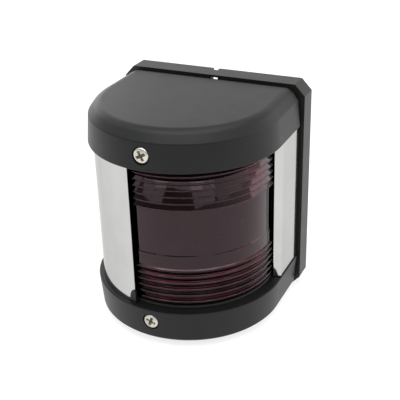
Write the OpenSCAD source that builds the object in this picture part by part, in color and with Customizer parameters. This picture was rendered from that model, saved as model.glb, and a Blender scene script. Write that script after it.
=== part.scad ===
// Port side navigation light for a small craft, vertical mount.
// Millimetres. X runs to the right seen from the front, -Y is forward, Z is up.
// The origin is the centre of the back plate's rear face, which lies on the bulkhead.

/* [Back plate] */
// Width of the back plate
plate_w = 75; // [75:0.5:80]
// Height of the back plate
plate_h = 85.8; // [85.8:0.2:92]
// Thickness of the back plate, rear face to front face
plate_t = 8.2; // [8:0.1:9]
// Corner cut of the back plate, measured along the width
corner_x = 3.9; // [2:0.1:6]
// Corner cut of the back plate, measured along the height
corner_z = 4.2; // [2:0.1:6]

/* [Front housing] */
// Radius of the rounded front at the lens opening
hood_r = 36.6; // [36.6:0.1:37]
// Distance from the wall to the centre of the rounded front
arc_y = 30.6; // [30.5:0.1:31.2]
// Height of the flat top above the centre
cap_top = 42; // [41.5:0.1:42.5]
// Depth of the flat underside below the centre
cap_bottom = 40.6; // [40.6:0.1:42]
// Upper edge of the lens opening above the centre
open_top = 27.5; // [27:0.1:27.5]
// Lower edge of the lens opening below the centre
open_bottom = 28; // [27.8:0.1:28.2]
// How far the cap walls lean in from the opening to the bevel
draft = 0.9; // [0.5:0.1:1.2]
// Seam between the back plate and the housing's rear edge
seam = 2; // [1.5:0.1:2.5]

/* [Lens] */
// Outer radius of the plain middle band
lens_r = 32.5; // [32.4:0.1:32.6]
// Outer radius of the crests of the prism ribs
rib_r = 33.3; // [33:0.1:33.4]
// Inner radius of the lens
lens_in_r = 30.2; // [30:0.1:30.4]
// Half the height of the plain middle band
band_h = 11.5; // [10:0.5:13]
// Number of prism ribs above and below the band
ribs = 6; // [4:1:7]

/* [Shields] */
// Outer radius of the polished side shields
shield_r = 34.7; // [34.6:0.1:34.8]
// Where the left shield ends, in degrees round from dead ahead
left_edge = 12; // [11.5:0.5:14]
// Distance from the wall to the right shield's folded front edge
fold_y = 28.2; // [27:0.1:28.5]

/* [Screws] */
// Height of the two housing screws above and below the centre
screw_z = 33; // [33:0.05:33.1]
// Diameter of the housing screws' heads
head_d = 6; // [5.6:0.1:6]

/* [Bulb] */
// Distance of the bulb's axis to the left of the centre
bulb_left = 6; // [5:0.5:7]
// Diameter of the festoon bulb's glass
bulb_d = 11; // [10:0.5:11]
// Length of the festoon bulb between its contacts
bulb_len = 41; // [40:0.5:42]

/* [Hidden] */
$fn = 96;

// Back plate: a tray that is open to the wall
plate_wall = 1.8;
plate_front = 2.6;
rib_t = 1.6;
cross_rib_z = 25.6;
mount_x = 22;
mount_z = 33;
mount_hole_r = 2.25;
mount_boss_r = 4.5;
pilot_r = 1.2;
pilot_boss_r = 3;
pilot_end = 3.4;
cable_x = 13;
cable_z = -17.5;
cable_hole_r = 5;
drain_x = 1.2;
notch_x = -1.2;

// Housing
rear = plate_t + seam;
wall = 2.3;
deck_t = 1.6;
top_bevel = [3.2, 4.2];
foot_bevel = [1.1, 1.1];
groove = 0.8;
rail_in = 32.2;
rail_out = 34;
lug_r = 3;
lug_in_r = 33.9;

// Screw stack, as distances in front of the wall
seat = arc_y + hood_r - 2.8;
washer_t = 0.5;
head_h = 2;
shank_r = 1.5;
shank_len = 16;
boss_r = 4.6;
boss_rear = 56.2;
counterbore_r = 3.25;
screw_hole_r = 1.7;
pillar_w = 8;
pillar_h = 5.8;
pillar_front = 55.2;
insert_r = 1.95;
insert_bore_r = 1.55;
insert_len = 6;

// Shields
sheet = 0.5;
flank_out = 1.5;
fold_x = shield_r + 1.4;
fold_in = 2.5;
shield_rear = rear + 0.3;

// Lens and seals
seal_t = 1;
lens_top = open_top - seal_t;
lens_bottom = open_bottom - seal_t;
lens_sweep = 124;
leg_in = 25.2;
leg_out = 26.6;
leg_front = arc_y - 16.2;
band_step = 7;

// The bulb stands where its light is cut off dead ahead by the left shield
// and 22.5 degrees abaft the beam by the right shield.
bulb_x = -bulb_left;
bulb_y = fold_y + (fold_x - fold_in + bulb_left) * tan(22.5);
contact_z = bulb_len / 2 + 0.1;
blade_t = 0.6;
blade_w = 8;
blade_front = bulb_y + 3.8;
slot_w = 3.2;
cap_r = 4;
tip_r = 1.4;
arm_t = 3;
arm_w = 10;
arm_front = bulb_y - 5;
carrier_w = 16;
carrier_t = 3;
carrier_screw_z = 7;
rivet_y = 24;
tab_y = 17;

// Terminal block
block_x = 13;
block_w = 15;
block_h = 14;
block_d = 10;
pole = 4;
barrel_r = 2;
barrel_y = plate_t + 5;
lead_r = 0.8;

// Points along the middle of the two short internal leads
upper_route = [[9, -13.2, 4], [9, -13.2, 10], [9, -13.4, 14.5], [8.9, -14, 17.6], [8.4, -15, 19.6],
               [7.4, -16.2, 20.6], [6, -17, 20.9]];
lower_route = [[17, -13.2, -4], [17, -13.2, -9], [16.8, -14, -13.4], [16, -15, -16.6],
               [13.8, -16.1, -19.2], [10.4, -16.8, -20.6], [6, -17, -20.9]];

// ---- Shared shapes ----

// Extrudes a drawing in X and Z forward, from y = -from to y = -to
module forward(from, to) {
    translate([0, -from, 0]) rotate([90, 0, 0]) linear_extrude(to - from) children();
}

// Carries a half section (distance from the middle, height) round the D-shaped plan
module sweep_d(back) {
    translate([0, -arc_y, 0]) rotate([0, 0, 180]) rotate_extrude(angle = 180) children();
    forward(back, arc_y) {
        children();
        mirror([1, 0]) children();
    }
}

// Part of a ring about the Z axis; angles run from dead ahead to the right
module ring_part(r_in, r_out, from, to, low, high) {
    rotate([0, 0, from - 90]) rotate_extrude(angle = to - from)
        translate([r_in, low]) square([r_out - r_in, high - low]);
}

// Moves to the axis of the housing's rounded front
module at_arc() {
    translate([0, -arc_y, 0]) children();
}

// A rod along Y, from y = -from forward to y = -to
module rod(r, x, z, from, to) {
    translate([x, -from, z]) rotate([90, 0, 0]) cylinder(r = r, h = to - from);
}

// A block given by its lowest and highest corners
module block(low, high) {
    translate(low) cube(high - low);
}

module plate_outline(inset) {
    w = plate_w / 2 - inset;
    h = plate_h / 2 - inset;
    polygon([[w - corner_x, h], [w, h - corner_z], [w, corner_z - h], [w - corner_x, -h],
             [corner_x - w, -h], [-w, corner_z - h], [-w, h - corner_z], [corner_x - w, h]]);
}

// ---- Back plate group ----

module screw_pillar() {
    half = pillar_h / 2;
    block([-pillar_w / 2, -pillar_front, screw_z - half], [pillar_w / 2, 0.5 - plate_t, screw_z + half]);
    rotate([90, 0, 90]) translate([0, 0, -1]) linear_extrude(2)
        polygon([[0.5 - plate_t, screw_z], [-40, screw_z + half - 0.5], [-40, screw_z + half],
                 [0.5 - plate_t, screw_z + half + 1.9]]);
}

module back_plate() {
    color("#2c2d2c") difference() {
        union() {
            difference() {
                forward(0, plate_t) plate_outline(0);
                forward(-1, plate_t - plate_front) plate_outline(plate_wall);
            }
            for (z = [-cross_rib_z, 0, cross_rib_z])
                block([1 - plate_w / 2, 0.5 - plate_t, z - rib_t / 2], [plate_w / 2 - 1, 0, z + rib_t / 2]);
            for (x = [-mount_x, mount_x], z = [-mount_z, mount_z])
                rod(mount_boss_r, x, z, 0, plate_t - 1);
            for (z = [-carrier_screw_z, carrier_screw_z])
                rod(pilot_boss_r, bulb_x, z, pilot_end - 1, plate_t - 1);
            rod(pilot_boss_r, block_x, 0, pilot_end - 1, plate_t - 1);
            screw_pillar();
            mirror([0, 0, 1]) screw_pillar();
        }
        for (x = [-mount_x, mount_x], z = [-mount_z, mount_z])
            rod(mount_hole_r, x, z, -1, plate_t + 1);
        for (z = [-carrier_screw_z, carrier_screw_z])
            rod(pilot_r, bulb_x, z, pilot_end, plate_t + 1);
        rod(pilot_r, block_x, 0, pilot_end, plate_t + 1);
        rod(cable_hole_r, cable_x, cable_z, 1, plate_t + 1);
        for (z = [-screw_z, screw_z])
            rod(insert_r, 0, z, pillar_front - 11, pillar_front + 1);
        // Drain slot in the front face, the way through behind it, and the notch in the rear edge
        block([drain_x - 1.4, -plate_t - 1, plate_h / 2 - 2.5], [drain_x + 1.4, 1, plate_h / 2 - 0.9]);
        block([notch_x - 1.2, -2.2, plate_h / 2 - 2.5], [notch_x + 1.2, 1, plate_h / 2 + 1]);
    }
}

module cover_gasket() {
    side = hood_r - 1;
    high = cap_top - 1;
    low = cap_bottom - 1;
    color("#0b0b0c") forward(plate_t, rear) difference() {
        polygon([[side, open_top], [side - draft, high - top_bevel[1]],
                 [side - draft - top_bevel[0], high], [draft + top_bevel[0] - side, high],
                 [draft - side, high - top_bevel[1]], [-side, open_top], [-side, -open_bottom],
                 [draft - side, foot_bevel[1] - low], [draft + foot_bevel[0] - side, -low],
                 [side - draft - foot_bevel[0], -low], [side - draft, foot_bevel[1] - low],
                 [side, -open_bottom]]);
        translate([-21.2, 0.8 - lens_bottom]) square([42.4, lens_bottom + lens_top - 1.6]);
        translate([-31, 29.7]) square([62, 8.3]);
        translate([-31, -37.4]) square([62, 7.7]);
    }
}

module threaded_inserts() {
    color("#b08d45") for (z = [-screw_z, screw_z]) difference() {
        rod(insert_r, 0, z, pillar_front - insert_len, pillar_front);
        rod(insert_bore_r, 0, z, pillar_front - insert_len - 1, pillar_front + 1);
    }
}

module cable_grommet() {
    lip = cable_hole_r + 1.6;
    back = plate_t - plate_front;
    color("#151515") translate([cable_x, 0, cable_z]) rotate([90, 0, 0]) rotate_extrude()
        polygon([[2.5, back - 1.5], [lip, back - 1.5], [lip, back], [cable_hole_r, back],
                 [cable_hole_r, plate_t], [lip, plate_t], [lip - 0.5, plate_t + 1.5],
                 [3.6, plate_t + 2.5], [2.5, plate_t + 2.5]]);
}

module carrier_arm() {
    low = contact_z + blade_t;
    block([bulb_x - arm_w / 2, -arm_front, low], [bulb_x + arm_w / 2, -plate_t, low + arm_t]);
    rotate([90, 0, 90]) translate([0, 0, bulb_x - 1]) linear_extrude(2)
        polygon([[-plate_t, 12], [-plate_t - carrier_t - 1, 12], [2 - rivet_y, low - 3],
                 [2 - rivet_y, low + 1], [-plate_t, low + 1]]);
}

module bulb_carrier() {
    tall = contact_z + blade_t + arm_t;
    color("#1d1d1f") difference() {
        union() {
            block([bulb_x - carrier_w / 2, -plate_t - carrier_t, -tall],
                  [bulb_x + carrier_w / 2, -plate_t, tall]);
            carrier_arm();
            mirror([0, 0, 1]) carrier_arm();
        }
        for (z = [-carrier_screw_z, carrier_screw_z])
            rod(pilot_r + 0.2, bulb_x, z, plate_t - 1, plate_t + carrier_t + 1);
        translate([bulb_x, -rivet_y, -tall - 1]) cylinder(r = 1.2, h = 2 * tall + 2);
        // Rear end of each contact blade, let into the carrier's front face
        for (z = [contact_z, -contact_z - blade_t])
            block([bulb_x - blade_w / 2, -plate_t - carrier_t - 14, z],
                  [bulb_x + blade_w / 2, -plate_t - carrier_t + 1, z + blade_t]);
    }
}

// Pan head screw along Y: the head's underside is at y = -at, and it stands forward of it
module pan_screw(x, z, at, head_r, high, r, length) {
    translate([x, -at, z]) rotate([90, 0, 0]) {
        rotate_extrude() polygon([[0, -length], [r - 0.3, -length], [r, 0.4 - length], [r, 0], [head_r, 0],
                                  [head_r, high * 0.45], [head_r * 0.82, high * 0.82],
                                  [head_r * 0.45, high], [0, high]]);
    }
}

module cross_slot(x, z, top, size, deep) {
    for (turn = [20, 110])
        translate([x, -top, z]) rotate([0, turn, 0])
            block([-size / 2, -0.5, -size * 0.13], [size / 2, deep, size * 0.13]);
}

module carrier_screws() {
    at = plate_t + carrier_t;
    color("#b9b7b0") for (z = [-carrier_screw_z, carrier_screw_z]) difference() {
        pan_screw(bulb_x, z, at, 2.3, 1.6, pilot_r, 7);
        cross_slot(bulb_x, z, at + 1.6, 2.4, 0.9);
    }
}

module contact_blade() {
    color("#c2a14e") difference() {
        union() {
            block([bulb_x - blade_w / 2, -blade_front, contact_z],
                  [bulb_x + blade_w / 2, -plate_t - carrier_t + 1, contact_z + blade_t]);
            block([bulb_x, -tab_y - 2, contact_z], [6, -tab_y + 2, contact_z + blade_t]);
        }
        block([bulb_x - slot_w / 2, -blade_front - 1, contact_z - 1],
              [bulb_x + slot_w / 2, -bulb_y, contact_z + 2]);
        translate([bulb_x, -bulb_y, contact_z - 1]) cylinder(r = slot_w / 2, h = 3);
        translate([bulb_x, -rivet_y, contact_z - 1]) cylinder(r = 1.2, h = 3);
    }
}

module upper_contact() {
    contact_blade();
}

module lower_contact() {
    mirror([0, 0, 1]) contact_blade();
}

module rivet() {
    high = contact_z + blade_t + arm_t;
    translate([bulb_x, -rivet_y, 0]) rotate_extrude()
        polygon([[0, contact_z - 0.8], [1.4, contact_z - 0.8], [2.2, contact_z - 0.4], [2.2, contact_z],
                 [1.2, contact_z], [1.2, high], [2.2, high], [2.2, high + 0.4], [1.4, high + 0.8],
                 [0, high + 0.8]]);
}

module contact_rivets() {
    color("#c9b36a") {
        rivet();
        mirror([0, 0, 1]) rivet();
    }
}

module terminal_block() {
    front = plate_t + block_d;
    color("#d9d6cc") difference() {
        union() {
            block([block_x - block_w / 2, -plate_t - 6, -block_h / 2],
                  [block_x + block_w / 2, -plate_t, block_h / 2]);
            for (x = [block_x - pole, block_x + pole])
                block([x - 3.2, -front, -block_h / 2], [x + 3.2, -plate_t - 5, block_h / 2]);
        }
        for (x = [block_x - pole, block_x + pole]) {
            translate([x, -barrel_y, -block_h]) cylinder(r = barrel_r, h = 2 * block_h);
            rod(1.8, x, 0, barrel_y, front + 1);
        }
        rod(pilot_r + 0.2, block_x, 0, plate_t - 1, front + 1);
        rod(2.3, block_x, 0, plate_t + 6, front + 1);
    }
}

module terminal_barrels() {
    color("#b99a52") for (x = [block_x - pole, block_x + pole]) difference() {
        translate([x, -barrel_y, 1 - block_h / 2]) cylinder(r = barrel_r, h = block_h - 2);
        translate([x, -barrel_y, -block_h]) cylinder(r = 1.2, h = 2 * block_h);
        rod(1, x, 0, barrel_y, barrel_y + 3);
    }
}

module terminal_screws() {
    color("#a9a69c") for (x = [block_x - pole, block_x + pole]) difference() {
        union() {
            rod(1, x, 0, barrel_y + 1.2, barrel_y + 2.2);
            rod(1.6, x, 0, barrel_y + 2, barrel_y + 4.2);
        }
        block([x - 0.25, -barrel_y - 5, -2], [x + 0.25, -barrel_y - 3.4, 2]);
    }
}

module terminal_block_screw() {
    at = plate_t + 6;
    color("#b9b7b0") difference() {
        pan_screw(block_x, 0, at, 2.1, 1.4, pilot_r, 10);
        block([block_x - 2.5, -at - 2, -0.3], [block_x + 2.5, -at - 0.7, 0.3]);
    }
}

function unit(v) = v / norm(v);
function heading(p, i) = unit(p[min(i + 1, len(p) - 1)] - p[max(i - 1, 0)]);

// A tube of eight sides along a list of points
module tube(route, r) {
    sides = 8;
    last = len(route) - 1;
    points = [for (i = [0:last])
              let (t = heading(route, i), u = unit(cross(t, [0.3, 1, 0.1])), v = cross(t, u))
              for (k = [0:sides - 1]) route[i] + r * (cos(360 * k / sides) * u + sin(360 * k / sides) * v)];
    skin = [for (i = [0:last - 1], k = [0:sides - 1], half = [0, 1])
            let (n = (k + 1) % sides, here = i * sides, next = here + sides)
            half == 0 ? [here + k, here + n, next + n] : [here + k, next + n, next + k]];
    start = [for (k = [0:sides - 1]) sides - 1 - k];
    end = [for (k = [0:sides - 1]) last * sides + k];
    polyhedron(points, concat(skin, [start, end]));
}

module upper_lead() {
    color("#7a1f1d") tube(upper_route, lead_r);
}

module lower_lead() {
    color("#1b1b1d") tube(lower_route, lead_r);
}

// ---- Front cover group ----

module cap(open_h, end_h, bevel) {
    edge_r = hood_r - draft;
    difference() {
        sweep_d(rear) polygon([[0, open_h], [hood_r, open_h], [edge_r, end_h - bevel[1]],
                               [edge_r - bevel[0], end_h], [0, end_h]]);
        sweep_d(rear - 1) polygon([[0, open_h + deck_t], [hood_r - wall, open_h + deck_t],
                                   [edge_r - wall, end_h - wall - bevel[1] / 2],
                                   [edge_r - wall - bevel[0] / 2, end_h - wall], [0, end_h - wall]]);
    }
    rod(boss_r, 0, screw_z, boss_rear, seat + 1);
}

// X of the shields' outer face on the flank, at a distance in front of the wall
function flank_x(y) = shield_r + flank_out * (arc_y - y) / (arc_y - shield_rear);

// Plan of a shield's flank, with an all-round allowance
module flank(from, gap) {
    polygon([[flank_x(from) + gap, -from], [flank_x(from) - sheet - gap, -from],
             [flank_x(shield_rear) - sheet - gap, gap - shield_rear],
             [flank_x(shield_rear) + gap, gap - shield_rear]]);
}

// Plan of the right shield's flat flank, with an all-round allowance
module right_flank(gap) {
    translate([fold_x - sheet - gap, -fold_y - gap])
        square([sheet + 2 * gap, fold_y - shield_rear + 2 * gap]);
}

module shield_grooves() {
    low = -open_bottom - groove;
    gap = 0.1;
    at_arc() ring_part(shield_r - sheet - gap, shield_r + gap, -90, -left_edge + 0.2, low, open_top + groove);
    translate([0, 0, low]) linear_extrude(open_top + open_bottom + 2 * groove) {
        mirror([1, 0]) flank(arc_y, gap);
        right_flank(gap);
    }
}

// Rod that points outwards through the left shield's lower front corner
module corner_rod(r, inner, outer) {
    translate([0, 0, -open_bottom]) rotate([0, 0, -left_edge]) translate([0, -inner, 0])
        rotate([90, 0, 0]) cylinder(r = r, h = outer - inner);
}

module front_housing() {
    color("#3c3e3f") difference() {
        union() {
            difference() {
                union() {
                    cap(open_top, cap_top, top_bevel);
                    mirror([0, 0, 1]) cap(open_bottom, cap_bottom, foot_bevel);
                    for (x = [-rail_out, rail_in])
                        block([x, -rear - 4, -open_bottom - 1],
                              [x + rail_out - rail_in, -rear, open_top + 1]);
                    block([fold_x - fold_in + 0.2, 0.8 - fold_y, -open_bottom - 1],
                          [fold_x - 0.9, 4.8 - fold_y, open_top + 1]);
                }
                shield_grooves();
            }
            // Lug that holds the left shield's lower front corner
            at_arc() intersection() {
                corner_rod(lug_r, lug_in_r - 1, shield_r + 2);
                ring_part(lug_in_r, shield_r + 0.2, -left_edge - 8, -left_edge + 0.8, -open_bottom - 0.9, 0);
            }
        }
        for (z = [-screw_z, screw_z]) {
            rod(counterbore_r, 0, z, seat, seat + 6);
            rod(screw_hole_r, 0, z, boss_rear - 1, seat + 1);
        }
    }
}

// Outer edge of the ribs on one side of the band, from the band outwards
function rib_edge(height, side) = [for (i = [0:ribs - 1], end = [0, 1])
    let (pitch = (height - band_h) / ribs)
    [end == 0 ? rib_r : lens_r - 0.6, side * (band_h + pitch * (i + (end == 0 ? 0.2 : 1)))]];
function reversed(list) = [for (i = [len(list) - 1:-1:0]) list[i]];

module lens_section() {
    polygon(concat([[lens_in_r, lens_top], [lens_in_r, -lens_bottom]], reversed(rib_edge(lens_bottom, -1)),
                   [[lens_r + 0.2, -band_h], [lens_r + 0.2, -band_step], [lens_r, 0.3 - band_step],
                    [lens_r, band_h]], rib_edge(lens_top, 1)));
}

module lens() {
    color("#5a1016", 0.8) {
        at_arc() rotate([0, 0, -90 - lens_sweep]) rotate_extrude(angle = 2 * lens_sweep) lens_section();
        for (x = [leg_in, -leg_out])
            block([x, -leg_front, 0.3 - lens_bottom], [x + leg_out - leg_in, -rear, lens_top - 0.3]);
    }
}

module lens_seal(low, high) {
    color("#0f0f10") at_arc() ring_part(lens_in_r + 0.2, lens_r + 0.3, -lens_sweep, lens_sweep, low, high);
}

module upper_lens_seal() {
    lens_seal(lens_top, open_top);
}

module lower_lens_seal() {
    lens_seal(-open_bottom, -lens_bottom);
}

module left_shield() {
    low = 0.1 - open_bottom - groove;
    high = open_top + groove - 0.1;
    color("#c9c9c6") difference() {
        union() {
            at_arc() ring_part(shield_r - sheet, shield_r, -90, -left_edge, low, high);
            translate([0, 0, low]) linear_extrude(high - low) mirror([1, 0]) flank(arc_y, 0);
        }
        at_arc() corner_rod(lug_r + 0.2, shield_r - 3, shield_r + 3);
    }
}

module right_shield() {
    low = 0.1 - open_bottom - groove;
    high = open_top + groove - 0.1;
    color("#c9c9c6") {
        translate([0, 0, low]) linear_extrude(high - low) right_flank(0);
        block([fold_x - fold_in, -fold_y, 0.3 - open_bottom],
              [fold_x - sheet / 2, sheet - fold_y, open_top - 0.3]);
    }
}

// ---- Housing screws ----

module washer(z) {
    color("#e6e4dc") difference() {
        rod(head_d / 2 - 0.1, 0, z, seat, seat + washer_t);
        rod(shank_r + 0.1, 0, z, seat - 1, seat + washer_t + 1);
    }
}

module housing_screw(z) {
    at = seat + washer_t;
    color("#c4c2ba") difference() {
        pan_screw(0, z, at, head_d / 2, head_h, shank_r, shank_len);
        cross_slot(0, z, at + head_h, head_d * 0.56, 1.2);
    }
}

module upper_screw_washer() {
    washer(screw_z);
}

module upper_screw() {
    housing_screw(screw_z);
}

module lower_screw_washer() {
    washer(-screw_z);
}

module lower_screw() {
    housing_screw(-screw_z);
}

// ---- Bulb ----

glass_h = bulb_len / 2 - 7.5;

module bulb_glass() {
    r = bulb_d / 2;
    color("#e8eef0", 0.5) translate([bulb_x, -bulb_y, 0]) rotate_extrude()
        polygon([[3.4, -glass_h], [3.9, -glass_h], [r, 3 - glass_h], [r, glass_h - 3], [3.9, glass_h],
                 [3.4, glass_h], [r - 0.6, glass_h - 3.2], [r - 0.6, 3.2 - glass_h]]);
}

module bulb_cap() {
    shoulder = bulb_len / 2;
    translate([bulb_x, -bulb_y, 0]) rotate_extrude()
        polygon([[0, glass_h - 1], [3.3, glass_h - 1], [3.3, glass_h], [cap_r, glass_h],
                 [cap_r, shoulder - 2.2], [tip_r, shoulder], [tip_r, shoulder + 0.9], [0, shoulder + 0.9]]);
}

module bulb_caps() {
    color("#bdbab0") {
        bulb_cap();
        mirror([0, 0, 1]) bulb_cap();
    }
}

module bulb_filament() {
    color("#8d8a84") translate([bulb_x, -bulb_y, 1 - glass_h]) cylinder(r = 0.5, h = 2 * glass_h - 2);
}

back_plate();
cover_gasket();
threaded_inserts();
cable_grommet();
bulb_carrier();
carrier_screws();
upper_contact();
lower_contact();
contact_rivets();
terminal_block();
terminal_barrels();
terminal_screws();
terminal_block_screw();
upper_lead();
lower_lead();
front_housing();
lens();
upper_lens_seal();
lower_lens_seal();
left_shield();
right_shield();
upper_screw_washer();
upper_screw();
lower_screw_washer();
lower_screw();
bulb_glass();
bulb_caps();
bulb_filament();
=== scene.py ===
import math

import bmesh
import bpy
from mathutils import Matrix, Vector


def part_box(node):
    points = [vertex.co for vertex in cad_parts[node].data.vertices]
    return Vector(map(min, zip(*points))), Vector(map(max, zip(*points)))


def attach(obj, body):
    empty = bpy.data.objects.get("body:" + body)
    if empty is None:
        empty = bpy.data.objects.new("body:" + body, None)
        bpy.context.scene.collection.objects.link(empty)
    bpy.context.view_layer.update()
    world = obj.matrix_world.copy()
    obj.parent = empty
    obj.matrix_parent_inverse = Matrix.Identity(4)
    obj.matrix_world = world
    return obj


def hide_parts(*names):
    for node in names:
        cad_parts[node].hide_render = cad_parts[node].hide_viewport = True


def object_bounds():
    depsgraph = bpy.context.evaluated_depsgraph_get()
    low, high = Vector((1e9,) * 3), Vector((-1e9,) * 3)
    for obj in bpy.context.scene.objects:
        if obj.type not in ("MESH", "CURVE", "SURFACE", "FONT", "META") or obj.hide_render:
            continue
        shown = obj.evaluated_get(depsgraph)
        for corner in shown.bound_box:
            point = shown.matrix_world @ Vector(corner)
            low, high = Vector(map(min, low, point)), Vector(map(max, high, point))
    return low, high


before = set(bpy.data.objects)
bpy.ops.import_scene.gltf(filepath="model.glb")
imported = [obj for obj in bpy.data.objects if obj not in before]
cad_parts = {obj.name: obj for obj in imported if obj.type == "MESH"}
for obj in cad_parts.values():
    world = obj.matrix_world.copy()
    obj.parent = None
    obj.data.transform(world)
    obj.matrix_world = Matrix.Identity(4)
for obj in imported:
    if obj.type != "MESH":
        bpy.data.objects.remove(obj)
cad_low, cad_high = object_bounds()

# The shapes are built in millimetres and brought to metres when each piece is placed.
MM = 0.001


def node_box(node):
    """Lowest and highest corner of a CAD node, in millimetres."""
    low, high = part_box(node)
    return low / MM, high / MM


# ---- Sizes ----
# Main sizes come from the frame
gasket_low, gasket_high = node_box("cover_gasket")
plate_low, plate_high = node_box("back_plate")
hood_low, hood_high = node_box("front_housing")
lens_low, lens_high = node_box("lens")
open_top = node_box("upper_lens_seal")[1].z
open_foot = -node_box("lower_lens_seal")[0].z
shield_low, shield_high = node_box("left_shield")
flap_low, flap_high = node_box("right_shield")
screw_low, screw_high = node_box("upper_screw")
bulb_low, bulb_high = node_box("bulb_glass")
bulb_tip = node_box("bulb_caps")[1].z

plate_t = -gasket_high.y
rear = -gasket_low.y
hood_r = hood_high.x
arc_y = -hood_low.y - hood_r
cap_top = hood_high.z
cap_foot = -hood_low.z
rib_r = lens_high.x
lens_top = lens_high.z
lens_foot = -lens_low.z
flank_out = 1.5
shield_r = -shield_low.x - flank_out
shield_rear = -shield_high.y
flap_rear = max(shield_rear - 1.3, rear + 0.2)
fold_y = -flap_low.y
fold_x = flap_high.x
screw_z = (screw_low.z + screw_high.z) / 2
head_r = (screw_high.x - screw_low.x) / 2
bulb_x = (bulb_low.x + bulb_high.x) / 2
bulb_y = -(bulb_low.y + bulb_high.y) / 2

# Sizes of details, in millimetres, with angles in degrees
plate_wall, plate_front = 1.8, 2.6
corner_x, corner_z = 3.9, 4.2
mounts = [(x, z) for x in (-22, 22) for z in (-33, 33)]
pilots = ((bulb_x, -7), (bulb_x, 7), (13, 0))
cable_x, cable_z, cable_r = 13, -17.5, 5
back_ribs = (-25.6, 0, 25.6)
pillar_half_w, pillar_half_h, pillar_root = 4, 2.9, 0.5
insert_r, insert_rear, past_pillar = 1.95, 44.2, 56.2
draft, wall, deck_t = 0.9, 2.3, 1.6
top_bevel, foot_bevel = (3.2, 4.2), (1.1, 1.1)
lens_r, lens_in_r, lens_sweep = 32.3, 30.2, 124
band_h, band_step, ribs = 11.5, 6.4, 6
left_edge = 12.0
sheet = 0.5
fold_in = 2.5
groove_gap, groove_deep = 0.1, 0.8
rail_in, rail_out = 32.2, 34.0
lug_w, lug_h, lug_in_r = 2.4, 5.4, 33.9
seat = -hood_low.y - 2.8
counterbore_r = 3.25
screw_hole_r = 1.7
screw_r, screw_length, screw_pitch, head_h = 1.5, 16, 0.5, 2.0
washer_t, washer_in_r = 0.5, 1.6


# ---- Mesh helpers ----
def from_bmesh(name, bm):
    bmesh.ops.remove_doubles(bm, verts=bm.verts, dist=1e-5)
    bmesh.ops.dissolve_degenerate(bm, edges=bm.edges, dist=1e-5)
    bmesh.ops.recalc_face_normals(bm, faces=bm.faces)
    mesh = bpy.data.meshes.new(name)
    bm.to_mesh(mesh)
    bm.free()
    obj = bpy.data.objects.new(name, mesh)
    bpy.context.scene.collection.objects.link(obj)
    return obj


def loft(name, rows, loop=True, ring=False, tied=False):
    """A solid through rows of points.

    loop: each row is a closed outline. ring: the last row meets the first.
    tied: each row is an open line, and the first and last rows together bound one end face.
    """
    bm = bmesh.new()
    grid = [[bm.verts.new(p) for p in row] for row in rows]
    count = len(rows[0])
    pairs = list(zip(grid, grid[1:] + grid[:1])) if ring else list(zip(grid, grid[1:]))
    for here, there in pairs:
        for k in range(count if loop else count - 1):
            n = (k + 1) % count
            bm.faces.new((here[k], here[n], there[n], there[k]))
    if tied:
        bm.faces.new(grid[0] + grid[-1][::-1])
    elif not ring:
        bm.faces.new(grid[0])
        bm.faces.new(grid[-1][::-1])
    return from_bmesh(name, bm)


def rounded(points, radii, steps=5, closed=True):
    """The outline with an arc at each corner; a radius of 0 keeps the corner."""
    count = len(points)
    radii = radii if isinstance(radii, (list, tuple)) else [radii] * count
    line = []
    for i, radius in enumerate(radii):
        p = Vector(points[i])
        if radius == 0 or (not closed and i in (0, count - 1)):
            line.append(tuple(p))
            continue
        a = Vector(points[i - 1]) - p
        b = Vector(points[(i + 1) % count]) - p
        half = a.angle(b) / 2
        reach = min(radius / math.tan(half), 0.48 * a.length, 0.48 * b.length)
        centre = p + (a.normalized() + b.normalized()).normalized() * (reach / math.cos(half))
        start = p + a.normalized() * reach - centre
        end = p + b.normalized() * reach - centre
        turn = math.atan2(start.x * end.y - start.y * end.x, start.dot(end))
        for k in range(steps + 1):
            angle = turn * k / steps
            c, s = math.cos(angle), math.sin(angle)
            line.append((centre.x + start.x * c - start.y * s, centre.y + start.x * s + start.y * c))
    return line


def circle(radius, steps, x=0.0, z=0.0):
    return [(x + radius * math.cos(math.tau * k / steps), z + radius * math.sin(math.tau * k / steps))
            for k in range(steps)]


def plan(r, z, angle, back=0.0):
    """A point at radius r on the D-shaped plan, angle round from dead ahead to the right."""
    return (r * math.sin(angle), back - arc_y - r * math.cos(angle), z)


def stations(back, steps=150):
    """Places along the D-shaped plan, from the right flank's rear round the front to the left one's."""
    straight = arc_y - back
    turn = [math.radians(90 - 180 * k / steps) for k in range(steps + 1)]
    return [(turn[0], straight)] + [(a, 0.0) for a in turn] + [(turn[-1], straight)]


def sweep_plan(name, section, back):
    """A solid with a flat rear face whose half section, from the middle round to the middle, is given."""
    rows = [[plan(r, z, angle, shift) for r, z in section] for angle, shift in stations(back)]
    return loft(name, rows, loop=False, tied=True)


def ring_part(name, section, start, end, steps):
    """A closed section swept about the rounded front's axis; angles in degrees."""
    angles = [math.radians(start + (end - start) * k / steps) for k in range(steps + 1)]
    return loft(name, [[plan(r, z, a) for r, z in section] for a in angles])


def prism(name, outline, start, end):
    """An outline in X and Z carried forward from y = -start to y = -end."""
    return loft(name, [[(x, -start, z) for x, z in outline], [(x, -end, z) for x, z in outline]])


def upright(name, outline, low, high):
    """An outline in X and Y carried up from z = low to z = high."""
    return loft(name, [[(x, y, low) for x, y in outline], [(x, y, high) for x, y in outline]])


def sideways(name, outline, low, high):
    """An outline in Y and Z carried across from x = low to x = high."""
    return loft(name, [[(low, y, z) for y, z in outline], [(high, y, z) for y, z in outline]])


def rod(name, radius, x, z, start, end, steps=48):
    return prism(name, circle(radius, steps, x, z), start, end)


def block(name, low, high):
    x0, y0, z0 = low
    x1, y1, z1 = high
    return upright(name, [(x0, y0), (x1, y0), (x1, y1), (x0, y1)], z0, z1)


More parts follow.
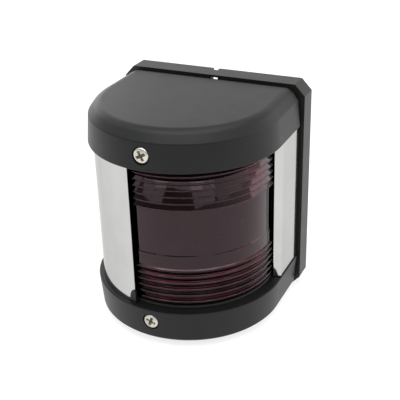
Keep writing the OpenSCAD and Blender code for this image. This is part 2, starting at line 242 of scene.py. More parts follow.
def lathe(name, profile, place, axis="Y", steps=64, closed=False):
    """A profile of (radius, distance along the axis) turned about an axis through place. Y runs forward."""
    px, py, pz = place
    rows = []
    for k in range(steps):
        c, s = math.cos(math.tau * k / steps), math.sin(math.tau * k / steps)
        if axis == "Y":
            rows.append([(px + r * c, py - t, pz + r * s) for r, t in profile])
        else:
            rows.append([(px + r * c, py + r * s, pz + t) for r, t in profile])
    return loft(name, rows, loop=closed, ring=True)


def bake(obj):
    """Applies the object's modifiers."""
    if obj.modifiers:
        graph = bpy.context.evaluated_depsgraph_get()
        mesh = bpy.data.meshes.new_from_object(obj.evaluated_get(graph))
        obj.modifiers.clear()
        obj.data = mesh
    return obj


def boolean(target, others, how):
    for other in others:
        step = target.modifiers.new("boolean", "BOOLEAN")
        step.operation = how
        step.solver = "EXACT"
        step.object = other
        bake(target)
        bpy.data.objects.remove(other)
    return target


def fuse(target, *others):
    return boolean(target, others, "UNION")


def cut(target, *others):
    return boolean(target, others, "DIFFERENCE")


def mirrored(obj, axis):
    """A copy of the object mirrored in the middle plane across that axis."""
    twin = obj.copy()
    twin.data = obj.data.copy()
    twin.data.transform(Matrix.Scale(-1, 4, axis))
    twin.data.flip_normals()
    bpy.context.scene.collection.objects.link(twin)
    return twin


def weld(obj, gap):
    """Joins points closer than gap and drops the faces that leaves without area."""
    bm = bmesh.new()
    bm.from_mesh(obj.data)
    bmesh.ops.remove_doubles(bm, verts=bm.verts, dist=gap)
    bmesh.ops.dissolve_degenerate(bm, edges=bm.edges, dist=gap)
    bm.to_mesh(obj.data)
    bm.free()
    return obj


def soften(obj, width, segments=2, angle=35):
    """Rounds the sharp edges."""
    step = obj.modifiers.new("bevel", "BEVEL")
    step.width = width
    step.segments = segments
    step.limit_method = "ANGLE"
    step.angle_limit = math.radians(angle)
    step.miter_outer = "MITER_ARC"
    return bake(obj)


def join(name, *objects):
    """Separate solids kept as one piece."""
    bm = bmesh.new()
    for obj in objects:
        bm.from_mesh(obj.data)
        bpy.data.objects.remove(obj)
    mesh = bpy.data.meshes.new(name)
    bm.to_mesh(mesh)
    bm.free()
    whole = bpy.data.objects.new(name, mesh)
    bpy.context.scene.collection.objects.link(whole)
    return whole


def place(obj, body, skin, slot, *nodes, sharp=38):
    """Brings a finished piece to metres, gives it its material and ties it to its body."""
    bake(obj)
    obj.data.transform(Matrix.Scale(MM, 4))
    obj.data.materials.clear()
    obj.data.materials.append(skin)
    obj.data.shade_smooth()
    obj.data.set_sharp_from_angle(angle=math.radians(sharp))
    even = obj.modifiers.new("even_normals", "WEIGHTED_NORMAL")
    even.keep_sharp = True
    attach(obj, body)
    if nodes:
        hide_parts(*nodes)
    return obj


# ---- Materials ----
def nodes_of(name):
    skin = bpy.data.materials.new(name)
    skin.use_nodes = True
    tree = skin.node_tree
    shader = tree.nodes["Principled BSDF"]
    where = tree.nodes.new("ShaderNodeTexCoord").outputs["Object"]
    return skin, tree, shader, where


def noise(tree, where, size_mm, detail=3.0, stretch=None):
    """Noise whose features are about size_mm across."""
    if stretch:
        mapping = tree.nodes.new("ShaderNodeMapping")
        mapping.inputs["Scale"].default_value = stretch
        tree.links.new(where, mapping.inputs["Vector"])
        where = mapping.outputs["Vector"]
    node = tree.nodes.new("ShaderNodeTexNoise")
    node.inputs["Scale"].default_value = 1 / (size_mm * MM)
    node.inputs["Detail"].default_value = detail
    tree.links.new(where, node.inputs["Vector"])
    return node.outputs["Fac"]


def spread(tree, value, low, high):
    node = tree.nodes.new("ShaderNodeMapRange")
    node.inputs["From Min"].default_value = 0.3
    node.inputs["From Max"].default_value = 0.7
    node.inputs["To Min"].default_value = low
    node.inputs["To Max"].default_value = high
    tree.links.new(value, node.inputs["Value"])
    return node.outputs["Result"]


def tint(tree, value, dark, light):
    node = tree.nodes.new("ShaderNodeValToRGB")
    node.color_ramp.elements[0].position = 0.3
    node.color_ramp.elements[1].position = 0.7
    node.color_ramp.elements[0].color = (*dark, 1)
    node.color_ramp.elements[1].color = (*light, 1)
    tree.links.new(value, node.inputs["Fac"])
    return node.outputs["Color"]


def bump(tree, shader, heights):
    """Adds bumps, each given as (height output, depth in millimetres)."""
    normal = None
    for height, depth in heights:
        node = tree.nodes.new("ShaderNodeBump")
        node.inputs["Distance"].default_value = depth * MM
        tree.links.new(height, node.inputs["Height"])
        if normal:
            tree.links.new(normal, node.inputs["Normal"])
        normal = node.outputs["Normal"]
    tree.links.new(normal, shader.inputs["Normal"])


def surface(name, dark, light, rough, grain, patch=9.0, metallic=0.0, specular=0.5, stretch=None):
    """A procedural finish: colour and gloss drift over patches; grain is (size, depth) in millimetres."""
    skin, tree, shader, where = nodes_of(name)
    tree.links.new(tint(tree, noise(tree, where, patch), dark, light), shader.inputs["Base Color"])
    sheen = noise(tree, where, patch * 0.4, 5.0, stretch)
    tree.links.new(spread(tree, sheen, rough[0], rough[1]), shader.inputs["Roughness"])
    shader.inputs["Metallic"].default_value = metallic
    shader.inputs["Specular IOR Level"].default_value = specular
    size, depth = grain
    bump(tree, shader, [(noise(tree, where, size, 2.0, stretch), depth)])
    return skin


# Name, dark and light colour, roughness range, grain size and depth, then what else differs
housing_skin = surface("housing_plastic", (0.0060, 0.0063, 0.0066), (0.0076, 0.0079, 0.0082),
                       (0.385, 0.415), (0.32, 0.010), 14.0, specular=0.27)
plate_skin = surface("plate_plastic", (0.0085, 0.0085, 0.0078), (0.0110, 0.0110, 0.0100),
                     (0.39, 0.43), (0.32, 0.010), 14.0, specular=0.32)
carrier_skin = surface("carrier_plastic", (0.018, 0.018, 0.02), (0.028, 0.028, 0.03),
                       (0.45, 0.55), (0.4, 0.02))
rubber_skin = surface("rubber", (0.006, 0.006, 0.006), (0.012, 0.012, 0.012),
                      (0.62, 0.75), (0.25, 0.02), 4.0)
nylon_skin = surface("nylon", (0.66, 0.63, 0.56), (0.75, 0.73, 0.67), (0.36, 0.48), (0.3, 0.01), 3.0)
block_skin = surface("block_nylon", (0.60, 0.57, 0.50), (0.70, 0.68, 0.61), (0.4, 0.5), (0.3, 0.01), 3.0)
brass_skin = surface("brass", (0.52, 0.36, 0.13), (0.66, 0.48, 0.20),
                     (0.24, 0.38), (0.12, 0.004), 2.5, metallic=1.0)
steel_skin = surface("screw_steel", (0.50, 0.48, 0.42), (0.66, 0.64, 0.58),
                     (0.24, 0.36), (0.12, 0.006), 1.5, metallic=1.0)
# Dark, dull steel that paints the shade inside the screws' cross recesses
recess_shade_skin = surface("recess_painted_shade_steel", (0.10, 0.085, 0.06), (0.22, 0.19, 0.14),
                      (0.45, 0.6), (0.1, 0.01), 0.8, metallic=0.8)
nickel_skin = surface("nickel", (0.52, 0.50, 0.46), (0.64, 0.62, 0.58),
                      (0.22, 0.34), (0.1, 0.004), 1.6, metallic=1.0)
tungsten_skin = surface("tungsten", (0.30, 0.29, 0.28), (0.40, 0.39, 0.38),
                        (0.35, 0.5), (0.05, 0.002), 0.6, metallic=1.0)
red_wire_skin = surface("red_wire", (0.30, 0.012, 0.010), (0.38, 0.02, 0.015),
                        (0.35, 0.45), (0.3, 0.01), 3.0)
black_wire_skin = surface("black_wire", (0.010, 0.010, 0.011), (0.018, 0.018, 0.019),
                          (0.35, 0.45), (0.3, 0.01), 3.0)


def mirror_steel():
    """Polished sheet: a slow wave from forming, and fine polishing lines that run up and down."""
    skin, tree, shader, where = nodes_of("mirror_steel")
    colour = tint(tree, noise(tree, where, 14.0), (0.49, 0.49, 0.48), (0.54, 0.54, 0.53))
    tree.links.new(colour, shader.inputs["Base Color"])
    lines = noise(tree, where, 0.5, 3.0, (1.0, 1.0, 0.04))
    tree.links.new(spread(tree, lines, 0.08, 0.14), shader.inputs["Roughness"])
    shader.inputs["Metallic"].default_value = 1.0
    shader.inputs["Specular Tint"].default_value = (0.74, 0.74, 0.74, 1)
    bump(tree, shader, [(noise(tree, where, 16.0, 1.0), 0.10), (lines, 0.0004)])
    return skin


def red_lens():
    """Clear red moulded plastic, with a faint flow ripple."""
    skin, tree, shader, where = nodes_of("red_lens")
    colour = tint(tree, noise(tree, where, 12.0), (0.046, 0.004, 0.009), (0.070, 0.0055, 0.013))
    tree.links.new(colour, shader.inputs["Base Color"])
    tree.links.new(spread(tree, noise(tree, where, 5.0), 0.03, 0.07), shader.inputs["Roughness"])
    shader.inputs["Transmission Weight"].default_value = 1.0
    shader.inputs["IOR"].default_value = 1.49
    shader.inputs["Specular IOR Level"].default_value = 0.42
    # The specular tint paints a purple cast into the lens's reflections
    shader.inputs["Specular Tint"].default_value = (1.0, 0.72, 0.79, 1)
    bump(tree, shader, [(noise(tree, where, 7.0, 1.0), 0.02)])
    return skin


def bulb_glass_skin():
    skin, tree, shader, where = nodes_of("bulb_glass")
    colour = tint(tree, noise(tree, where, 4.0), (0.90, 0.93, 0.93), (0.97, 0.98, 0.98))
    tree.links.new(colour, shader.inputs["Base Color"])
    tree.links.new(spread(tree, noise(tree, where, 3.0), 0.0, 0.03), shader.inputs["Roughness"])
    shader.inputs["Transmission Weight"].default_value = 1.0
    shader.inputs["IOR"].default_value = 1.5
    bump(tree, shader, [(noise(tree, where, 3.0, 1.0), 0.01)])
    return skin


mirror_skin = mirror_steel()
lens_skin = red_lens()
glass_skin = bulb_glass_skin()


# ---- Back plate group ----
def plate_outline(inset, radius):
    w = plate_high.x - inset
    h = plate_high.z - inset
    corners = [(w - corner_x, h), (w, h - corner_z), (w, corner_z - h), (w - corner_x, -h),
               (corner_x - w, -h), (-w, corner_z - h), (-w, h - corner_z), (corner_x - w, h)]
    return rounded(corners, radius, 3)


def screw_pillar():
    """Square pillar that reaches forward to a housing screw, with its gusset."""
    root, tip = pillar_root - plate_t, -40
    under, over = screw_z - pillar_half_h, screw_z + pillar_half_h
    pillar = block("pillar", (-pillar_half_w, plate_low.y, under), (pillar_half_w, root, over))
    web = sideways("web", [(root, screw_z), (tip, over - 0.5), (tip, over), (root, over + 1.9)], -1, 1)
    return fuse(pillar, web)


def back_plate():
    plate = prism("back_plate_moulding", plate_outline(0, 0.6), 0, plate_t)
    cut(plate, prism("hollow", plate_outline(plate_wall, 0.6), -1, plate_t - plate_front))
    inner = plate_high.x - 1
    for z in back_ribs:
        fuse(plate, block("rib", (-inner, pillar_root - plate_t, z - 0.8), (inner, -0.02, z + 0.8)))
    for x, z in mounts:
        fuse(plate, rod("boss", 4.5, x, z, 0, plate_t - 1))
    for x, z in pilots:
        fuse(plate, rod("pilot_boss", 3, x, z, 2.4, plate_t - 1))
    pillar = screw_pillar()
    twin = mirrored(pillar, (0, 0, 1))
    fuse(plate, pillar, twin)
    for x, z in mounts:
        cut(plate, rod("hole", 2.25, x, z, -1, plate_t + 1))
    for x, z in pilots:
        cut(plate, rod("pilot", 1.2, x, z, 3.4, plate_t + 1, 24))
    cut(plate, rod("cable_hole", cable_r, cable_x, cable_z, 1, plate_t + 1))
    for z in (-screw_z, screw_z):
        cut(plate, rod("insert_hole", insert_r, 0, z, insert_rear, past_pillar, 32))
    # Drain slot through the front and notch in the rear edge
    top = plate_high.z
    cut(plate, block("slot", (-0.2, -plate_t - 1, top - 2.5), (2.6, 1, top - 0.9)),
        block("notch", (-2.4, -2.2, top - 2.5), (0, 1, top + 1)))
    soften(plate, 0.3)
    return place(plate, "base", plate_skin, "housing_black", "back_plate")


def gasket():
    """The seam's rubber, with one window for the lens and one for each pillar."""
    side, high, low = hood_r - 1, cap_top - 1, cap_foot - 1
    half = [(side, open_top), (side - draft, high - top_bevel[1]), (side - draft - top_bevel[0], high)]
    foot = [(side - draft - foot_bevel[0], -low), (side - draft, foot_bevel[1] - low), (side, -open_foot)]
    right = foot + half
    outline = right + [(-x, z) for x, z in right[::-1]]
    rubber = prism("cover_gasket_rubber", outline, plate_t, rear)
    windows = ((21.2, 0.8 - lens_foot, lens_top - 0.8), (31, 29.7, 38), (31, -37.4, -29.7))
    for x, low_z, high_z in windows:
        window = rounded([(-x, low_z), (x, low_z), (x, high_z), (-x, high_z)], 1.0, 4)
        cut(rubber, prism("window", window, plate_t - 1, rear + 1))
    soften(rubber, 0.25)
    return place(rubber, "base", rubber_skin, "rubber_black", "cover_gasket")


# ---- Front cover group ----
def cap(open_h, end_h, bevel, edge_radius, shoulder_radius):
    """One end of the housing: outer shell less its hollow, with the screw boss."""
    edge_r = hood_r - draft
    outer = rounded([(0, open_h), (hood_r, open_h), (edge_r, end_h - bevel[1]),
                     (edge_r - bevel[0], end_h), (0, end_h)],
                    [0, 0.35, edge_radius, shoulder_radius, 0], 6)
    inner = [(0, open_h + deck_t), (hood_r - wall, open_h + deck_t),
             (edge_r - wall, end_h - wall - bevel[1] / 2), (edge_r - wall - bevel[0] / 2, end_h - wall),
             (0, end_h - wall)]
    shell = sweep_plan("front_housing_moulding", outer, rear)
    cut(shell, sweep_plan("hollow", inner, rear - 1))
    fuse(shell, rod("boss", 4.6, 0, screw_z, past_pillar, seat + 1))
    return shell


def flank_x(y):
    """How far out the left shield's flank is, at a distance y in front of the wall."""
    return shield_r + flank_out * (arc_y - y) / (arc_y - shield_rear)


def groove_cutters():
    """The slots in both caps that hold the shields' edges."""
    low, high = -open_foot - groove_deep, open_top + groove_deep
    near, far, gap = flank_x(arc_y), flank_x(shield_rear), groove_gap
    ring = [(shield_r - sheet - gap, low), (shield_r + gap, low), (shield_r + gap, high),
            (shield_r - sheet - gap, high)]
    flank = [(-near - gap, -arc_y), (sheet + gap - near, -arc_y),
             (sheet + gap - far, gap - shield_rear), (-far - gap, gap - shield_rear)]
    return [ring_part("groove", ring, -90.3, -left_edge + 0.2, 90),
            upright("groove", flank, low, high),
            block("groove", (fold_x - sheet - gap, -fold_y - gap, low),
                  (fold_x + gap, gap - flap_rear, high))]


def front_housing():
    """Both caps, the rails between them, the shields' slots, the lug and the screw holes."""
    shell = cap(open_top, cap_top, top_bevel, 0.9, 4.2)
    foot = cap(open_foot, cap_foot, foot_bevel, 0.45, 0.45)
    foot.data.transform(Matrix.Scale(-1, 4, (0, 0, 1)))
    foot.data.flip_normals()
    low, high = -open_foot - 0.7, open_top + 0.7
    rail = block("rail", (-rail_out, -rear - 4, low), (-rail_in, -rear - 0.01, high))
    fuse(shell, mirrored(rail, (1, 0, 0)), rail)
    fuse(shell, block("rail", (fold_x - fold_in + 0.2, 0.8 - fold_y, low),
                      (fold_x - 0.9, 4.8 - fold_y, high)))
    fuse(shell, foot)
    cut(shell, *groove_cutters())
    lug = ring_part("lug", [(lug_in_r, -open_foot - 0.9), (shield_r + 0.2, -open_foot - 0.9),
                            (shield_r + 0.2, 0), (lug_in_r, 0)], -left_edge - 8, 0.8 - left_edge, 24)
    angle = math.radians(-left_edge)
    turn = Matrix.Translation((0, -arc_y, -open_foot)) @ Matrix.Rotation(angle, 4, "Z")
    oval = [(x, z * lug_h / lug_w) for x, z in circle(lug_w, 64)]
    finger = prism("finger", oval, lug_in_r - 1, shield_r + 2)
    finger.data.transform(turn)
    boolean(lug, [finger], "INTERSECT")
    fuse(shell, lug)
    for z in (-screw_z, screw_z):
        cut(shell, rod("counterbore", counterbore_r, 0, z, seat, seat + 6, 64))
        cut(shell, rod("screw_hole", screw_hole_r, 0, z, 56, seat + 1, 32))
    weld(shell, 0.01)
    return place(shell, "cover", housing_skin, "housing_black", "front_housing")


def lens_section():
    """Half section of the lens: plain inside, and a stepped band between two rows of prisms outside."""
    def edge(height, side):
        pitch = (height - band_h) / ribs
        line = []
        for i in range(ribs):
            # The prisms grow steeper away from the middle
            root = rib_r - 0.9 - 0.8 * (i + 1) / ribs
            line.append(((rib_r, side * (band_h + pitch * (i + 0.22))), 0.45))
            line.append(((root, side * (band_h + pitch * (i + 1))), 0.2 if i < ribs - 1 else 0.3))
        return line
    corners = [((lens_in_r, lens_top), 0.3), ((lens_in_r, -lens_foot), 0.3)] + edge(lens_foot, -1)[::-1]
    corners += [((lens_r + 0.2, -band_h), 0.1), ((lens_r + 0.2, -band_step), 0.1),
                ((lens_r, 0.3 - band_step), 0.1), ((lens_r, band_h), 0.1)] + edge(lens_top, 1)
    return rounded([p for p, r in corners], [r for p, r in corners], 4)


def lens():
    """The lens, with a straight leg behind each end of its arc."""
    body = ring_part("lens_moulding", lens_section(), -lens_sweep, lens_sweep, 180)
    for low_x, high_x in ((-26.6, -25.2), (25.2, 26.6)):
        fuse(body, block("leg", (low_x, 16.2 - arc_y, 0.3 - lens_foot),
                         (high_x, -rear, lens_top - 0.3)))
    return place(body, "cover", lens_skin, "lens_red", "lens")


def lens_seals():
    for name, node, low, high in (("upper_seal_ring", "upper_lens_seal", lens_top, open_top),
                                  ("lower_seal_ring", "lower_lens_seal", -open_foot, -lens_foot)):
        r0, r1 = lens_in_r + 0.2, lens_r + 0.3
        section = rounded([(r0, low), (r1, low), (r1, high), (r0, high)], 0.3, 3)
        ring = ring_part(name, section, -lens_sweep, lens_sweep, 120)
        place(ring, "cover", rubber_skin, "rubber_black", node)


def sheet_solid(name, outer, inner, low_at, high_at, rows=24):
    """A bent sheet from matching outer and inner lines in plan; its height may change along the lines."""
    count = len(outer)
    plan_loop = outer + inner[::-1]
    spots = list(range(count)) + list(range(count))[::-1]
    layers = []
    for row in range(rows + 1):
        t = row / rows
        layers.append([(x, y, low_at(k) * (1 - t) + high_at(k) * t)
                       for (x, y), k in zip(plan_loop, spots)])
    bm = bmesh.new()
    grid = [[bm.verts.new(p) for p in layer] for layer in layers]
    total = len(plan_loop)
    for here, there in zip(grid, grid[1:]):
        for k in range(total):
            n = (k + 1) % total
            bm.faces.new((here[k], here[n], there[n], there[k]))
    for layer in (grid[0], grid[-1]):
        for k in range(count - 1):
            bm.faces.new((layer[k], layer[k + 1], layer[total - 2 - k], layer[total - 1 - k]))
    return from_bmesh(name, bm)


def left_shield():
    """Polished sheet along the left flank and round the front, with a rolled edge cut round the lug."""
    low, high = 0.1 - open_foot - groove_deep, open_top + groove_deep - 0.1
    bite_w, bite_h = lug_w + 0.2, lug_h + 0.2
    corner = 1.2
    edge = math.radians(left_edge)
    roll = 0.45
    # run is the way left to the front edge, along the sheet
    outer, inner, run = [], [], []
    for k in range(9):
        y = shield_rear + (arc_y - shield_rear) * k / 8
        outer.append((-flank_x(y), -y))
        inner.append((sheet - flank_x(y), -y))
        run.append(math.inf)
    steps = 110
    last = math.pi / 2 - edge - roll / shield_r
    for k in range(1, steps + 1):
        # Steps grow shorter towards the front edge, where the outline curves
        share = 1 - (1 - k / steps) ** 1.5
        angle = -math.pi / 2 + last * share
        outer.append(plan(shield_r, 0, angle)[:2])
        inner.append(plan(shield_r - sheet, 0, angle)[:2])
        run.append((-edge - angle) * shield_r)
    for k in range(1, 7):
        bend = math.radians(15 * k)
        angle = -edge - (roll - roll * math.sin(bend)) / shield_r
        outer.append(plan(shield_r - roll + roll * math.cos(bend), 0, angle)[:2])
        inner.append(plan(shield_r - sheet, 0, angle)[:2])
        run.append(roll - roll * math.sin(bend))

    def low_at(k):
        s = run[k]
        if s >= bite_w:
            return low
        return max(low, bite_h * math.sqrt(1 - (s / bite_w) ** 2) - open_foot)

    def high_at(k):
        s = run[k]
        if s >= corner:
            return high
        return high - corner + math.sqrt(corner ** 2 - (corner - s) ** 2)

    body = sheet_solid("left_mirror", outer, inner, low_at, high_at)
    return place(body, "cover", mirror_skin, "polished_steel", "left_shield", sharp=50)


def right_shield():
    """Polished sheet on the right flank, folded in towards the lens."""
    low, high = 0.1 - open_foot - groove_deep, open_top + groove_deep - 0.1
    bend_r, lip = 2.0, 1.5
    outer, inner = [], []
    flat = 12
    for k in range(flat):
        y = flap_rear + (fold_y - bend_r - flap_rear) * k / (flat - 1)
        outer.append((fold_x, -y))
        inner.append((fold_x - sheet, -y))
    for k in range(1, 9):
        bend = math.radians(70 * k / 8)
        c, s = math.cos(bend), math.sin(bend)
        outer.append((fold_x - bend_r + bend_r * c, bend_r - fold_y - bend_r * s))
        inner.append((fold_x - bend_r + (bend_r - sheet) * c, bend_r - fold_y - (bend_r - sheet) * s))
    for line in (outer, inner):
        x, y = line[-1]
        line += [(x - lip * s * k / 6, y - lip * c * k / 6) for k in range(1, 7)]

    def trimmed(k):
        """The folded part is a millimetre shorter at both ends."""
        return 0.0 if k < flat else min(1.0, (k - flat) / 3)

    body = sheet_solid("right_mirror", outer, inner, lambda k: low + trimmed(k),
                       lambda k: high - trimmed(k))
    soften(body, 0.1, 2, 60)
    return place(body, "cover", mirror_skin, "polished_steel", "right_shield", sharp=50)


# ---- Housing screws ----
def threaded_shank(name, z, at):
    """A shank with a helical thread, pointing back from y = -at."""
    around, per_turn, depth = 28, 6, 0.28
    count = int(screw_length / screw_pitch * per_turn)
    rows = []
    for k in range(around):
        turn = k / around
        line = [(0, screw_length - at, z)]
        for i in range(count + 1):
            t = screw_length * (1 - i / count)
            phase = (t / screw_pitch - turn) % 1
            # The last 0.8 mm tapers to the tip
            fade = min(1.0, max(0.0, (screw_length - t) / 0.8))
            r = screw_r - depth * abs(2 * phase - 1) - 0.35 * (1 - fade)
            line.append((r * math.cos(math.tau * turn), t - at, z + r * math.sin(math.tau * turn)))
        line.append((0, -at - 0.3, z))
        rows.append(line)
    return loft(name, rows, loop=False, ring=True)


def cross_cutter(x, z, top, size, deep, turn_degrees):
    """A cross-shaped punch whose arms narrow as they go in."""
    arms = []
    for quarter in (0, 90):
        half, thick = size / 2, size * 0.135
        wide = [(-half, -thick), (half, -thick), (half, thick), (-half, thick)]
        rows = [[(px * k, -depth, pz * g) for px, pz in wide]
                for k, g, depth in ((1.06, 1.1, 0.5), (1.0, 1.0, 0.0), (0.5, 0.75, -deep))]
        arm = loft("arm", rows)
        arm.data.transform(Matrix.Rotation(math.radians(turn_degrees + quarter), 4, "Y"))
        arm.data.transform(Matrix.Translation((x, -top, z)))
        arms.append(arm)
    return fuse(arms[0], arms[1])


def pan_head(name, z, at, turn_degrees):
    """A domed head with a cross recess."""
    profile = [(0, -0.2), (screw_r, -0.2), (screw_r, 0)]
    profile += rounded([(screw_r, 0), (head_r, 0), (head_r, head_h * 0.6), (head_r * 0.88, head_h * 0.88),
                        (head_r * 0.45, head_h), (0, head_h)],
                       [0, 0.12, 0.25, 0.4, 0.8, 0], 4, closed=False)[1:]
    head = lathe(name, profile, (0, -at, z), "Y", 72)
    cut(head, cross_cutter(0, z, at + head_h, head_r * 1.32, 1.1, turn_degrees))
    weld(head, 0.03)
    return weld(soften(head, 0.05, 2, 40), 0.004)


def paint_recess_shade(screw, z, top):
    """Paints shade into the cross recess: its faces get a dark, dull steel beside the bright head."""
    screw.data.materials.append(recess_shade_skin)
    for face in screw.data.polygons:
        off = math.hypot(face.center.x, face.center.z - z * MM) / MM
        depth = top + face.center.y / MM
        if off < 0.66 * head_r and 0.3 < depth < 1.6:
            face.material_index = 1


def housing_screws():
    for where, z, turn in (("upper", screw_z, 62), ("lower", -screw_z, 20)):
        at = seat + washer_t
        head = pan_head(where + "_pan_head", z, at, turn)
        screw = join(where + "_pan_screw", head, threaded_shank("shank", z, at))
        place(screw, where + "_fixing", steel_skin, "screw_steel", where + "_screw")
        paint_recess_shade(screw, z, at + head_h)
        washer_r = head_r - 0.1
        ring = rounded([(washer_in_r, 0), (washer_r, 0), (washer_r, washer_t), (washer_in_r, washer_t)],
                       0.12, 3)
        washer = lathe(where + "_nylon_washer", ring, (0, -seat, z), "Y", 64, closed=True)
        place(washer, where + "_washer", nylon_skin, "nylon_white", where + "_screw_washer")


# ---- Bulb ----
def bulb():
    """Festoon bulb: a glass tube, a cap on each end and the filament."""
    glass_h = bulb_high.z
    r = (bulb_high.x - bulb_low.x) / 2
    tube = rounded([(3.4, -glass_h), (3.9, -glass_h), (r, 3 - glass_h), (r, glass_h - 3), (3.9, glass_h),
                    (3.4, glass_h), (r - 0.6, glass_h - 3.2), (r - 0.6, 3.2 - glass_h)],
                   [0, 0.4, 2.5, 2.5, 0.4, 0, 2.0, 2.0], 6)
    glass = lathe("festoon_glass", tube, (bulb_x, -bulb_y, 0), "Z", 64, closed=True)
    place(glass, "bulb", glass_skin, "bulb_glass", "bulb_glass")
    shoulder = bulb_tip - 0.9
    profile = rounded([(0, glass_h - 1), (3.3, glass_h - 1), (3.3, glass_h), (4, glass_h),
                       (4, shoulder - 2.2), (1.4, shoulder), (1.4, bulb_tip), (0, bulb_tip)],
                      [0, 0.1, 0.1, 0.3, 0.6, 0.3, 0.4, 0], 4, closed=False)
    upper = lathe("cap", profile, (bulb_x, -bulb_y, 0), "Z", 56)
    lower = mirrored(upper, (0, 0, 1))
    place(join("festoon_caps", upper, lower), "bulb", nickel_skin, "nickel", "bulb_caps")
    place(filament(glass_h), "bulb", tungsten_skin, "tungsten", "bulb_filament")


def wire(points, radius, sides=8):
    """A round wire along a list of points."""
    rows = []
    for i, p in enumerate(points):
        ahead = Vector(points[min(i + 1, len(points) - 1)]) - Vector(points[max(i - 1, 0)])
        along = ahead.normalized()
        # Any fixed direction serves that the wire never runs along
        across = along.cross(Vector((0.31, 0.9, 0.12))).normalized()
        other = along.cross(across)
        rows.append([Vector(p) + radius * (math.cos(math.tau * k / sides) * across
                                           + math.sin(math.tau * k / sides) * other) for k in range(sides)])
    return loft("wire", rows)


def filament(glass_h):
    """A coiled wire with straight ends."""
    coil_h, coil_r, turns, per_turn = 4.5, 0.36, 14, 14
    points = [(bulb_x, -bulb_y, 1 - glass_h), (bulb_x, -bulb_y, -coil_h - 0.4)]
    for k in range(turns * per_turn + 1):
        angle = math.tau * k / per_turn
        height = coil_h * (2 * k / (turns * per_turn) - 1)
        points.append((bulb_x + coil_r * math.cos(angle), coil_r * math.sin(angle) - bulb_y, height))
    points += [(bulb_x, -bulb_y, coil_h + 0.4), (bulb_x, -bulb_y, glass_h - 1)]
    coil = wire(points, 0.11, 6)
    coil.name = "filament_coil"
    return coil


# ---- CAD nodes that stay, with their finishes ----
KEPT = {
    "threaded_inserts": brass_skin,
    "cable_grommet": rubber_skin,
    "bulb_carrier": carrier_skin,
    "carrier_screws": steel_skin,
    "upper_contact": brass_skin,
    "lower_contact": brass_skin,
    "contact_rivets": brass_skin,
    "terminal_block": block_skin,
    "terminal_barrels": brass_skin,
    "terminal_screws": steel_skin,
    "terminal_block_screw": steel_skin,
    "upper_lead": red_wire_skin,
    "lower_lead": black_wire_skin,
}


def kept_nodes():
    for name, skin in KEPT.items():
        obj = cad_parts[name]
        obj.data.materials.clear()
        obj.data.materials.append(skin)


# ---- Studio ----
def camera():
    """Looks down from the front right, with a slight roll."""
    azimuth, elevation, roll = math.radians(25.3), math.radians(26.6), math.radians(-1.7)
    target = Vector((6.37, -35.0, 3.1)) * MM
    distance = 320 * MM
    back = Vector((math.sin(azimuth) * math.cos(elevation), -math.cos(azimuth) * math.cos(elevation),
                   math.sin(elevation)))
    right = Vector((0, 0, 1)).cross(back).normalized()
    up = back.cross(right)
    level_right = right * math.cos(roll) + up * math.sin(roll)
    level_up = up * math.cos(roll) - right * math.sin(roll)
    data = bpy.data.cameras.new("camera")
    data.sensor_width = 36.0
    data.lens = 76.98
    data.clip_start, data.clip_end = 0.01, 50.0
    view = bpy.data.objects.new("camera", data)
    turn = Matrix((level_right, level_up, back)).transposed().to_4x4()
    view.matrix_world = Matrix.Translation(target + back * distance) @ turn
    bpy.context.scene.collection.objects.link(view)
    bpy.context.scene.camera = view


def area_light(name, place_at, target, width, height, radiance):
    """A softbox that faces target; its brightness doesn't change with its size."""
    data = bpy.data.lights.new(name, "AREA")
    data.shape = "RECTANGLE"
    data.size, data.size_y = width, height
    data.energy = radiance * math.pi * width * height
    lamp = bpy.data.objects.new(name, data)
    lamp.location = place_at
    lamp.rotation_mode = "QUATERNION"
    lamp.rotation_quaternion = (Vector(place_at) - Vector(target)).to_track_quat("Z", "Y")
    bpy.context.scene.collection.objects.link(lamp)


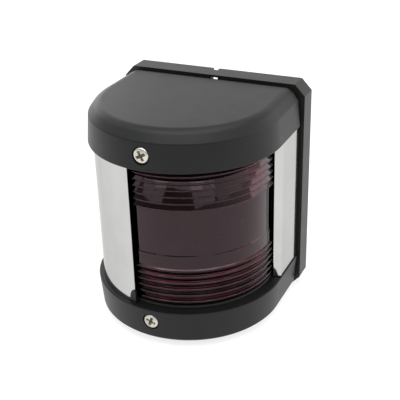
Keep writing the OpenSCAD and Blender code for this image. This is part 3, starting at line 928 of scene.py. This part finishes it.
def studio():
    """Pale paper floor, room light, and softboxes placed in metres."""
    scene = bpy.context.scene
    world = bpy.data.worlds.new("studio")
    scene.world = world
    world.use_nodes = True
    tree = world.node_tree
    sky = tree.nodes["Background"]
    sky.inputs["Color"].default_value = (1, 1, 1, 1)
    # The room is dim in front of the navigation light and bright behind it
    way = tree.nodes.new("ShaderNodeSeparateXYZ")
    tree.links.new(tree.nodes.new("ShaderNodeTexCoord").outputs["Generated"], way.inputs["Vector"])
    glow = tree.nodes.new("ShaderNodeMapRange")
    glow.inputs["From Min"].default_value = -0.8
    glow.inputs["From Max"].default_value = 0.4
    glow.inputs["To Min"].default_value = 0.2
    glow.inputs["To Max"].default_value = 1.05
    tree.links.new(way.outputs["Y"], glow.inputs["Value"])
    # What is seen past the floor is plain and pale
    seen = tree.nodes.new("ShaderNodeMix")
    tree.links.new(tree.nodes.new("ShaderNodeLightPath").outputs["Is Camera Ray"], seen.inputs["Factor"])
    tree.links.new(glow.outputs["Result"], seen.inputs["A"])
    seen.inputs["B"].default_value = 1.0
    tree.links.new(seen.outputs["Result"], sky.inputs["Strength"])
    bm = bmesh.new()
    bmesh.ops.create_grid(bm, x_segments=8, y_segments=8, size=12)
    mesh = bpy.data.meshes.new("floor")
    bm.to_mesh(mesh)
    bm.free()
    floor = bpy.data.objects.new("floor", mesh)
    floor.location = (0, 0, cad_low.z)
    scene.collection.objects.link(floor)
    skin, tree, shader, where = nodes_of("floor_paper")
    tree.links.new(tint(tree, noise(tree, where, 60.0), (0.25, 0.25, 0.25), (0.28, 0.28, 0.28)),
                   shader.inputs["Base Color"])
    shader.inputs["Roughness"].default_value = 0.9
    shader.inputs["Specular IOR Level"].default_value = 0.2
    shader.inputs["Emission Color"].default_value = (1, 1, 1, 1)
    shader.inputs["Emission Strength"].default_value = 0.8
    mesh.materials.append(skin)
    middle = (0, -0.03, 0)
    area_light("top_softbox", (0.10, -0.12, 0.78), middle, 0.9, 0.6, 1.8)
    # Panels overhead in front, with narrow gaps between them and a high one in the middle
    panels = ((-66, 48, 0.78, 0.9), (-22, 46, 0.42, 1.0), (10, 62, 0.9, 1.15), (43, 46, 0.42, 0.9),
              (84, 48, 0.78, 0.45))
    for azimuth, elevation, width, radiance in panels:
        turn, lift = math.radians(azimuth), math.radians(elevation)
        spot = (math.sin(turn) * math.cos(lift), -math.cos(turn) * math.cos(lift), math.sin(lift))
        area_light("front_panel", spot, middle, width, 0.72, radiance)
    area_light("right_softbox", (0.68, 0.48, 0.22), middle, 0.6, 0.3, 1.6)
    area_light("left_softbox", (-0.68, 0.48, 0.22), middle, 0.6, 0.3, 1.6)
    scene.view_settings.view_transform = "Standard"


back_plate()
gasket()
front_housing()
lens()
lens_seals()
left_shield()
right_shield()
housing_screws()
bulb()
kept_nodes()
camera()
studio()
